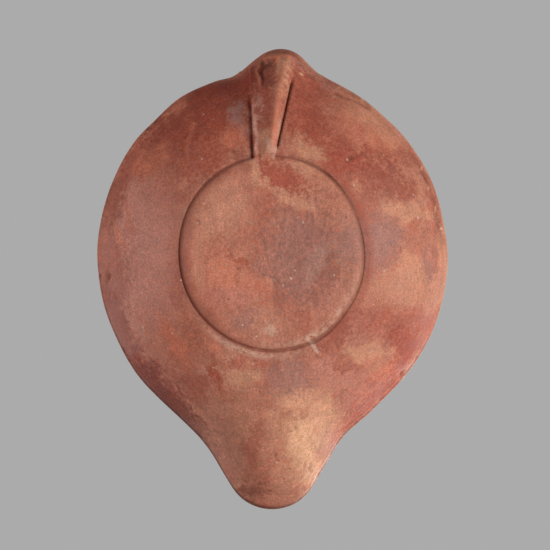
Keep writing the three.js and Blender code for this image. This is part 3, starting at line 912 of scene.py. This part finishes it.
# Each patch: x and y of its middle, its two half-lengths and its turn in degrees, how soft its edge is, its
# colour, and how strongly it covers the clay.
PATCHES = [
    # broad tones of the side towards +X; their darkness is partly slip and partly painted shade, as this side
    # faces away from the main light
    (31.5, 1, 9, 18.5, 0, 0.5, CLAY_ROSE, 0.85),
    (15, 36.5, 20, 7, -33, 0.5, SLIP_DARK, 0.85),
    (17.5, 27.5, 13, 7.5, -35, 0.6, SLIP, 0.6),
    (36, 18.5, 10.5, 2.8, -62, 0.6, SLIP, 0.7),
    (37, -17, 13, 3.4, 64, 0.5, SLIP_BROWN, 0.95),
    (38.6, -6, 4.2, 12, 0, 0.6, SLIP_BROWN, 0.6),
    (38.6, 14, 3.2, 6, 20, 0.6, UMBER, 0.4),
    (27.2, -33, 13, 4, 48, 0.5, SLIP_DARK, 0.9),
    (19, -30.5, 6, 3.4, 40, 0.6, SLIP_BROWN, 0.6),
    # the dark red bands along the rim towards the nozzle are painted shadow over the slip
    (29, -31.5, 13, 2.6, 48, 0.6, SHADOW_RED, 0.6),
    (25.6, -35, 7, 2, 48, 0.6, SHADOW_RED, 0.6),
    (12.6, 42.6, 7, 2.8, -28, 0.6, SLIP_DARK, 0.8),
    (22.5, 37.5, 3, 1.6, -35, 0.6, SLIP_LIGHT, 0.5),
    (27.5, 23.6, 4, 2.4, -60, 0.6, SLIP_LIGHT, 0.4),
    (7, 30, 1.1, 3, 2, 0.5, CLAY_ROSE, 0.5),
    (22, 0, 1.8, 9, 0, 0.6, SLIP, 0.25),
    # the ridge and the tip
    (6.4, 43.5, 4.4, 3.8, -20, 0.5, SLIP_DARK, 0.85),
    (1.6, 37.6, 2, 7.5, 4, 0.4, SLIP, 0.6),
    # the two dark patches in the hollow under the lug are painted shade
    (1, 44.6, 2.4, 2.8, 0, 0.4, SLIP_BROWN, 0.6),
    (1.1, 46.4, 2.2, 1.5, 0, 0.3, UMBER, 0.75),
    (2.2, 27.6, 1.8, 2.6, 0, 0.5, SAND, 0.7),
    (-1, 30, 0.8, 3.6, -12, 0.5, WHITISH, 0.3),
    (-2.2, 48.6, 3.8, 2.2, 0, 0.5, SLIP_LIGHT, 0.9),
    (-3, 47.4, 2, 1.8, 0, 0.5, CREAM, 0.35),
    (-2.4, 48.9, 3, 1.2, 0, 0.6, SLIP_FRESH, 0.8),
    (-2.8, 42.6, 1.2, 3.8, -8, 0.5, CREAM, 0.45),
    (-7.6, 47.4, 2.6, 1.8, 30, 0.6, CLAY_ROSE, 0.6),
    (-12.6, 43, 4.4, 1.8, 32, 0.6, CLAY_ROSE, 0.6),
    (-2.9, 43.6, 1.5, 4.6, -6, 0.5, SAND, 0.7),
    (4.1, 31, 0.8, 8.5, 4, 0.5, CLAY_ROSE, 0.9),
    (4, 30, 0.5, 6, 4, 0.6, WHITISH, 0.25),
    (0.2, 26, 0.8, 1.2, 0, 0.6, WHITISH, 0.4),
    (-7.8, 43, 3.4, 2.2, 35, 0.5, SLIP_ORANGE, 0.5),
    # broad tones of the side towards -X
    (-8.4, 34.5, 5.5, 9.5, -5, 0.6, SLIP, 0.8),
    (-25, 32, 13, 5.4, 37, 0.5, SLIP_LIGHT, 0.6),
    (-26, 33, 10, 3.4, 42, 0.6, SAND, 0.6),
    (-30.4, 31, 6, 1.4, 47, 0.6, CLAY_ROSE, 0.6),
    (-18, 26.4, 5, 3, 30, 0.6, SLIP, 0.5),
    (-14.6, 23.4, 4, 1.5, 22, 0.6, SLIP_BROWN, 0.5),
    (-32, 24, 3, 2.2, 30, 0.6, SLIP_BROWN, 0.55),
    (-19, 22.4, 8.5, 3.4, 8, 0.6, SLIP, 0.85),
    (-26.6, 18.4, 7.5, 4, 28, 0.6, SLIP_BROWN, 0.8),
    (-25.2, 3.6, 5.2, 7.2, 0, 0.6, LILAC, 0.6),
    (-28.4, 7, 2.4, 4, 0, 0.6, MAUVE, 0.4),
    (-31.5, -8, 7.5, 4.4, 0, 0.6, SAND, 0.65),
    (-31.5, -16.4, 10, 3.4, 8, 0.8, SLIP, 0.6),
    (-31.4, -19.6, 5, 3, 20, 0.6, SLIP_BROWN, 0.75),
    (-41, -1, 1.6, 9, 0, 0.6, SAND, 0.6),
    (-15.4, -17.8, 6, 2.4, -45, 0.5, SLIP_BROWN, 0.8),
    (-26.8, -31, 15, 3.8, -48, 0.5, SLIP_ORANGE, 0.8),
    (-22.6, -35, 8, 1.8, -48, 0.6, SLIP, 0.75),
    (-32.5, -21.5, 5.5, 3.4, 60, 0.5, SLIP, 0.85),
    (-17.5, -29.5, 6, 5, 0, 0.6, CLAY_ROSE, 0.35),
    # broad tones of the base
    (11.5, 10, 6.5, 6.5, 0, 0.5, TAN, 0.7),
    (9.4, -4.6, 8, 3.8, 30, 0.7, SLIP_LIGHT, 0.5),
    (-7, 0.5, 8.5, 10, 0, 0.5, MAUVE, 0.85),
    (-17, -2, 3, 9, 0, 0.6, BROWN, 0.35),
    (-17.4, 4, 2.2, 5.4, 0, 0.6, LILAC, 0.5),
    (-2, 19, 5.6, 2.9, 28, 0.4, SLIP, 0.85),
    (9, -9.4, 5.4, 2.6, 10, 0.7, CLAY_ROSE, 0.45),
    (-13.6, -8.6, 2.4, 5, 20, 0.7, CLAY_ROSE, 0.4),
    (2, -14.5, 5.5, 4, 0, 0.5, TAN, 0.65),
    # the nozzle; the brown and umber patches on its +X half are partly painted shade on the flank that faces
    # away from the main light
    (-5.2, -42.5, 14.5, 6.4, 82, 0.6, SAND, 0.75),
    (-7.6, -43.5, 12, 3.8, 78, 0.7, CREAM, 0.95),
    (6.4, -38, 3.6, 7, 8, 0.7, TAN, 0.65),
    (1.6, -42, 2, 6, 8, 0.6, TAN, 0.5),
    (7, -52, 2.6, 3.6, 20, 0.6, SAND, 0.45),
    (-3.4, -39, 1.8, 3.4, 0, 0.6, SLIP_BROWN, 0.45),
    (-13.4, -48.6, 6, 1.8, 66, 0.6, BROWN, 0.4),
    (-9.5, -34.5, 5, 3.4, 0, 0.6, SAND, 0.75),
    (10, -45, 11, 3.6, 62, 0.6, BROWN, 0.6),
    (19, -41, 8, 1.8, 52, 0.6, UMBER, 0.6),
    (3.8, -56.6, 5, 2.4, 0, 0.6, UMBER, 0.8),
    (4.8, -46.5, 1.6, 9, 12, 0.6, SLIP_BROWN, 0.5),
    (12, -34.5, 3.4, 3, 0, 0.6, TAN, 0.5),
    # smaller marks of the slip towards +X
    (23.4, -19.7, 6, 1.9, 63, 0.4, SLIP_ORANGE, 0.8),
    (17, -21.8, 8, 1.4, 61, 0.7, SLIP_BROWN, 0.45),
    (13.9, -20.4, 4.2, 0.9, 61, 0.6, SLIP_LIGHT, 0.5),
    (16.2, -25.4, 3, 1.6, 60, 0.6, TAN, 0.6),
    (13.2, -27.8, 3.4, 1.1, 55, 0.4, SLIP, 0.8),
    (7.2, -28.4, 4.2, 2.5, 0, 0.3, SAND, 0.85),
    (19.8, 29.5, 0.8, 5.2, -4, 0.5, SLIP_ORANGE, 0.6),
    (30, 22.9, 4.4, 2.8, -30, 0.5, SLIP_ORANGE, 0.55),
    (24.6, 35.1, 1.8, 0.7, -50, 0.5, SLIP_LIGHT, 0.8),
    (17, 21.4, 4, 3, 0, 0.5, SLIP, 0.5),
    (8.6, 34.7, 1.6, 2.3, 0, 0.5, LILAC, 0.6),
    (9, 27.8, 2.2, 2.8, 0, 0.4, SLIP_ORANGE, 0.8),
    (7, 23.8, 2.2, 1.2, 0, 0.5, SLIP_BROWN, 0.6),
    (22.2, -10.4, 1.6, 3.6, -25, 0.6, SLIP_BROWN, 0.45),
    (36.5, 4.5, 3.2, 0.8, 70, 0.5, SLIP_LIGHT, 0.6),
    (34, 9.5, 4, 0.9, 80, 0.5, SLIP_ORANGE, 0.5),
    # smaller marks of the slip towards -X
    (-8.2, 25.6, 4.2, 2.2, 24, 0.5, SAND, 0.85),
    (-4.4, 31, 0.8, 6, -14, 0.5, SLIP, 0.6),
    (-32.6, 11.3, 6.4, 2, 4, 0.4, SAND, 0.85),
    (-35.5, 14.5, 3.4, 1.6, -60, 0.5, TAN, 0.6),
    (-33.6, -2.3, 3.8, 3.8, 0, 0.4, SAND, 0.75),
    (-37.2, -2.6, 1.6, 4.2, 0, 0.5, MAUVE, 0.75),
    (-22, -22.8, 4.8, 1.9, -6, 0.4, SAND, 0.8),
    (-22.4, -25.8, 3.6, 1.2, -30, 0.5, SLIP_LIGHT, 0.3),
    (-33.5, -26.5, 5, 0.9, -55, 0.5, SAND, 0.5),
    (-30, -28, 6, 0.8, -52, 0.5, SLIP, 0.6),
    (-12, -25, 2.6, 2, 0, 0.5, CLAY_ROSE, 0.45),
    (-16.8, -24.8, 2.4, 1.8, 0, 0.6, SLIP_BROWN, 0.5),
    (-7.6, -24.8, 2.4, 1.6, 0, 0.6, UMBER, 0.35),
    (6.6, -24.6, 3, 1.2, 0, 0.6, SLIP, 0.5),
    (-12.5, -39, 3, 4, 0, 0.6, CREAM, 0.5),
    (-3.4, -28, 6.4, 3.8, 0, 0.5, MAUVE, 0.8),
    (-5.6, -36.6, 2.6, 1.6, 0, 0.6, SLIP, 0.3),
    # smaller marks on the base
    (3.4, 19.4, 4.4, 1.1, 57, 0.4, SAND, 0.75),
    (-4.8, 13.3, 6, 1.2, 27, 0.4, SAND, 0.75),
    (-8.2, 20.6, 2.6, 1.6, 0, 0.4, SAND, 0.6),
    (8, -0.6, 2.6, 0.9, 25, 0.4, SLIP, 0.6),
    (17.5, -3, 1.8, 6.5, 0, 0.5, TAN, 0.6),
    (6.8, -14.8, 3.2, 2.4, 0, 0.4, MAUVE, 0.7),
    (-12.6, -5, 2.2, 6, 10, 0.5, UMBER, 0.3),
    (-11, 0, 2, 5, 30, 0.5, WHITISH, 0.16),
    (0.6, -17.4, 2.2, 1.1, 0, 0.4, WHITISH, 0.4),
    (-9.4, -20.6, 0.7, 1.6, -40, 0.5, WHITISH, 0.6),
]
# Grains of pale grit: x, y and radius.
GRITS = [(17.6, 8.2, 0.3), (16.1, 12.7, 0.2), (21.6, -5.4, 0.22), (-4.4, -5, 0.26), (-2.5, -6.6, 0.2)]
GRITS += [(-5.3, -3.1, 0.18), (3.7, -18.6, 0.22), (-40.9, 7.1, 0.34), (-17.8, 23.2, 0.26)]
GRITS += [(-1, -49, 0.26), (-10.4, -44.8, 0.2), (14.6, -49.8, 0.2), (-34.8, 9.6, 0.2)]
# Pale flecks along the rim: x, y, the two half-lengths and the turn.
RIM_FLECKS = [(-16, 41.4, 0.9, 0.35, -30), (-22, 38.6, 0.5, 0.25, -35), (-36, 21.6, 0.7, 0.25, -60)]
RIM_FLECKS += [(-37.8, 17.2, 0.8, 0.22, -66), (-39.4, 12, 0.6, 0.2, -72), (-7, 44.4, 0.6, 0.3, 30)]


# %% Build the clay
BENDING = 3.5  # noise moves the edges of the patches by up to this many millimetres


def in_plan(where):
    """The place as (x, y, 1) in millimetres from the body's axis: one dot product can turn and shift it."""
    parts = add(tree, "SeparateXYZ", {0: where})
    x = times(parts.outputs["X"], 1 / MM)
    y = calculate("MULTIPLY_ADD", parts.outputs["Y"], 1 / MM, -AXIS_Y)
    return vector(x, y, 1.0)


def patched(colour, plan, patch, broken):
    """The colour with an oval patch laid over it. The values of `broken` break up its edge."""
    x, y, half_x, half_y, turn, softness, paint, strength = patch
    cosine, sine = math.cos(turn * DEGREE), math.sin(turn * DEGREE)
    long_axis = (cosine / half_x, sine / half_x, -(x * cosine + y * sine) / half_x)
    short_axis = (-sine / half_y, cosine / half_y, (x * sine - y * cosine) / half_y)
    lengthwise = measure("DOT_PRODUCT", plan, long_axis)
    crosswise = measure("DOT_PRODUCT", plan, short_axis)
    distance = measure("LENGTH", vector(lengthwise, crosswise))
    distance = calculate("ADD", distance, broken)
    share = scaled(distance, 1 + softness, 1 - softness, 0, strength)
    return mix_colour(share, colour, linear(paint))


shader = tree.nodes["Principled BSDF"]
where = add(tree, "TexCoord").outputs["Object"]
elsewhere = add(tree, "Mapping", {"Vector": where, "Location": (0.1, 0.2, 0.3)}).outputs[0]
push_x = scaled(noise_value(where, 6, 6, 0.7), 0, 1, -BENDING * MM, BENDING * MM)
push_y = scaled(noise_value(elsewhere, 6, 6, 0.7), 0, 1, -BENDING * MM, BENDING * MM)
push = vector(push_x, push_y)
warped = add(tree, "VectorMath", {0: where, 1: push}, operation="ADD").outputs[0]
grains = noise_value(where, 1.1, 4, 0.7)
broken = scaled(grains, 0.25, 0.75, -0.45, 0.45)

mottle = scaled(noise_value(where, 7, 6, 0.65), 0.32, 0.68)
colour = lay(linear(CLAY), mottle, 0.55, TAN)
reddened = scaled(noise_value(warped, 12, 4, 0.6), 0.46, 0.56)
colour = lay(colour, reddened, 0.4, SLIP)
height = part("Z", where)
is_below = scaled(height, 21 * MM, 17 * MM)
from_below = colour
bent_plan = in_plan(warped)
for patch in PATCHES:
    from_below = patched(from_below, bent_plan, patch, broken)
plan = in_plan(where)
for x, y, radius in GRITS:
    from_below = patched(from_below, plan, (x, y, radius, radius, 0, 0.4, WHITISH, 0.85), broken)
for fleck in RIM_FLECKS:
    from_below = patched(from_below, plan, (*fleck, 0.4, CREAM, 0.8), broken)
colour = mix_colour(is_below, colour, from_below)
print("patches:", len(PATCHES), "nodes so far:", len(tree.nodes))

# %% [markdown]
# The bare clay is gritty, and the potter's wet fingers and the brush with the slip left streaks along the
# lamp and along its rim. These are small changes of brightness: a fine grain everywhere, streaks that run
# from the lug to the nozzle, and streaks that follow the rim, drawn with the distance from the rim that
# the points remember.

# %% Grain and streaks
lengthwise = add(tree, "Mapping", {"Vector": where, "Scale": (1.0, 0.22, 1.0)}).outputs[0]
long_streaks = noise_value(lengthwise, 0.8, 4, 0.7)
from_rim_now = kept("from_rim")
way_round = times(kept("round"), 6.0)
streaky = {"Vector": vector(way_round, from_rim_now), "Scale": 0.9, "Detail": 4.0}
rim_streaks = add(tree, "TexNoise", streaky).outputs["Fac"]
near_rim = scaled(from_rim_now, 14, 4)
fine = noise_value(where, 0.45, 3, 0.75)

tone = scaled(fine, 0.25, 0.75, 0.75, 1.25)
tone = times(tone, scaled(grains, 0.3, 0.7, 0.9, 1.1))
tone = times(tone, scaled(noise_value(where, 3.5, 3, 0.6), 0.3, 0.7, 0.93, 1.07))
across = part("X", where)
near_middle = scaled(calculate("ABSOLUTE", across), 26 * MM, 16 * MM, 0.25, 1.0)
long_tone = scaled(long_streaks, 0.3, 0.7, -0.09, 0.09)
tone = times(tone, calculate("MULTIPLY_ADD", long_tone, near_middle, 1.0))
rim_tone = scaled(rim_streaks, 0.3, 0.7, 0.93, 1.07)
rim_tone = calculate("MULTIPLY_ADD", calculate("SUBTRACT", rim_tone, 1.0), near_rim, 1.0)
tone = times(tone, rim_tone)
speckle = noise_value(elsewhere, 0.5, 2, 0.7)
redness = scaled(speckle, 0.25, 0.75, 0.93, 1.07)
colour = brightened(colour, tone, redness)

# %% Grit, pores and wear, and painted shade and highlights
cells = add(tree, "TexVoronoi", {"Vector": where, "Scale": per(2.4)})
pick = add(tree, "SeparateColor", {0: cells.outputs["Color"]})
speck = scaled(cells.outputs["Distance"], 0.15, 0.08)
pale_speck = times(speck, scaled(pick.outputs[0], 0.8, 0.9))
dark_speck = times(speck, scaled(pick.outputs[1], 0.7, 0.76))
colour = lay(colour, pale_speck, 0.5, WHITISH)
colour = lay(colour, dark_speck, 0.55, UMBER)

base_edge = kept("base_edge")
towards_plus_x = scaled(across, 2 * MM, 14 * MM)
towards_minus_x = scaled(across, -4 * MM, -14 * MM)
# Painted shade and highlight on the base's rounded edge: darker towards +X, where it faces away from the main
# light, and paler towards -X, where it faces it.
colour = lay(colour, times(base_edge, towards_plus_x), 0.5, SLIP_BROWN)
colour = lay(colour, times(base_edge, towards_minus_x), 0.15, SAND)
# Whitish wear outside the line, and a painted highlight inside it.
rubbed_and_lit = times(kept("rubbed_and_lit"), scaled(grains, 0.35, 0.6))
colour = lay(colour, rubbed_and_lit, 0.75, WHITISH)
# Painted shade: the bowl just outside the line on the -X side is made darker, towards the slip's red.
shade_outside_line = times(kept("outside_line"), scaled(across, -8 * MM, -16 * MM))
colour = lay(colour, shade_outside_line, 0.45, SLIP)
# The crest and the bead are paler where worn; the lit edges of the ledge under the lug get a painted
# highlight.
# The cut lines are darkened for dirt in them and as painted shade where light does not reach in.
for name, strength, paint in [("groove_dirt_and_shade", 0.65, DIRT_AND_SHADE_BROWN), ("crest", 0.6, SLIP_LIGHT), ("pit", 0.6, UMBER)]:
    colour = lay(colour, kept(name), strength, paint)

# %% The seam under the rim, painted shade and highlight along the rim's edge, the soot at the wick and the darker inside
breaks = scaled(broken, -0.2, 0.2, 0.2, 0.8)
colour = lay(colour, kept("seam"), breaks, UMBER)
# Paler along the rim's edge on the -X side: partly wear, partly painted highlight where the edge faces the
# main light.
edge_wear_and_highlight = times(kept("edge_wear_and_highlight"), scaled(rim_streaks, 0.42, 0.58, 0.2, 0.8))
colour = mix_colour(edge_wear_and_highlight, colour, linear(SAND))
# Painted shadow: the rim's edge towards the nozzle and +X is darkened.
colour = lay(colour, kept("edge_shade"), 0.75, DIRT_AND_SHADE_BROWN)

soot_place = (0, (AXIS_Y - WICK_HOLE_REACH - 1) * MM, (SHOULDER_HEIGHT - WICK_LAND_DROP) * MM)
sooty = scaled(measure("DISTANCE", warped, soot_place), 14 * MM, 6 * MM)
sooty = times(sooty, scaled(height, 17.5 * MM, 20 * MM))
colour = lay(colour, kept("inside"), 0.7, UMBER)
colour = lay(colour, sooty, 0.85, SOOT)
tree.links.new(colour, shader.inputs["Base Color"])

rough = scaled(mottle, 0.0, 1.0, 0.62, 0.8)
tree.links.new(rough, shader.inputs["Roughness"])
shader.inputs["Specular IOR Level"].default_value = 0.35
relief_height = calculate("ADD", grains, times(fine, 0.5))
relief_height = calculate("ADD", relief_height, times(long_streaks, 0.8))
relief_height = calculate("ADD", relief_height, times(times(rim_streaks, near_rim), 0.8))
bumped = add(tree, "Bump", {"Strength": 0.4, "Distance": 0.22 * MM, "Height": relief_height})
tree.links.new(bumped.outputs[0], shader.inputs["Normal"])

# %% Dress the lamp
body.data.materials.clear()
body.data.materials.append(terracotta)
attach(body, "root")
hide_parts("lamp_body")

# %% [markdown]
# ## The studio
#
# The picture is taken straight from below, so the floor must not hide the lamp: it is a real floor from
# above and clear glass from below, and it stops no light. Soft light comes from the -X side, a weaker one
# from the other side, and two more above serve the views from there.

# %% Floor
FLOOR_GAP = 0.3 * MM
FLOOR_SIZE = 8
FLOOR_GREY = "#D4D2CE"

bpy.ops.mesh.primitive_plane_add(size=FLOOR_SIZE, location=(0, 0, -FLOOR_GAP))
floor = bpy.context.active_object
floor.name = "floor"
floor_paint = bpy.data.materials.new("matt floor paint, clear from below")
floor_paint.use_nodes = True
floor_tree = floor_paint.node_tree
floor_shader = floor_tree.nodes["Principled BSDF"]
floor_shader.inputs["Base Color"].default_value = linear(FLOOR_GREY)
floor_shader.inputs["Roughness"].default_value = 0.9
is_underneath = add(floor_tree, "NewGeometry").outputs["Backfacing"]
clear = add(floor_tree, "BsdfTransparent")
mix_shaders(floor_tree, is_underneath, floor_shader, clear, "Material Output")
floor.data.materials.append(floor_paint)
floor.visible_shadow = False
floor.visible_diffuse = False
floor.visible_glossy = False

# %% World and lights
BACKGROUND = "#ABABAB"
AMBIENT = 0.2

world = bpy.data.worlds.new("studio")
bpy.context.scene.world = world
world.use_nodes = True
world_tree = world.node_tree
seen = world_tree.nodes["Background"]
seen.inputs["Color"].default_value = linear(BACKGROUND)
lighting = add(world_tree, "Background", {"Color": (1, 1, 1, 1), "Strength": AMBIENT})
is_camera = add(world_tree, "LightPath").outputs["Is Camera Ray"]
mix_shaders(world_tree, is_camera, lighting, seen, "World Output")


def soft_light(name, direction, distance, size, power):
    """A square area light in a direction from the lamp, aimed at it."""
    place = Vector(direction).normalized() * distance
    bpy.ops.object.light_add(type="AREA", location=place)
    light = bpy.context.active_object
    light.name = name
    light.rotation_mode = "QUATERNION"
    light.rotation_quaternion = place.to_track_quat("Z", "Y")
    light.data.size = size
    light.data.energy = power


soft_light("key from below", (-0.85, -0.12, -0.55), 0.9, 0.4, 7.5)
soft_light("fill from below", (0.8, 0.1, -0.6), 0.9, 0.6, 3.4)
soft_light("key from above", (-0.6, -0.5, 0.8), 0.9, 0.5, 9)
soft_light("fill from above", (0.8, -0.3, 0.5), 1.0, 0.7, 4)
bpy.context.scene.view_settings.view_transform = "Standard"

# %% Camera
# It looks straight up at the underside, with the lug at the top of the picture. At the height of the rim the
# picture is PICTURE_WIDTH across.
RIM_DISTANCE = 600 * MM
PICTURE_WIDTH = 133.6 * MM
CAMERA_X = -0.6 * MM
CAMERA_Y = 0.6 * MM
SENSOR_WIDTH = 36

camera_place = (CAMERA_X, CAMERA_Y, RIM_HEIGHT * MM - RIM_DISTANCE)
bpy.ops.object.camera_add(location=camera_place, rotation=(0, math.pi, 0))
camera = bpy.context.active_object
camera.data.sensor_width = SENSOR_WIDTH
camera.data.lens = SENSOR_WIDTH * RIM_DISTANCE / PICTURE_WIDTH
camera.data.clip_start = 0.01
bpy.context.scene.camera = camera
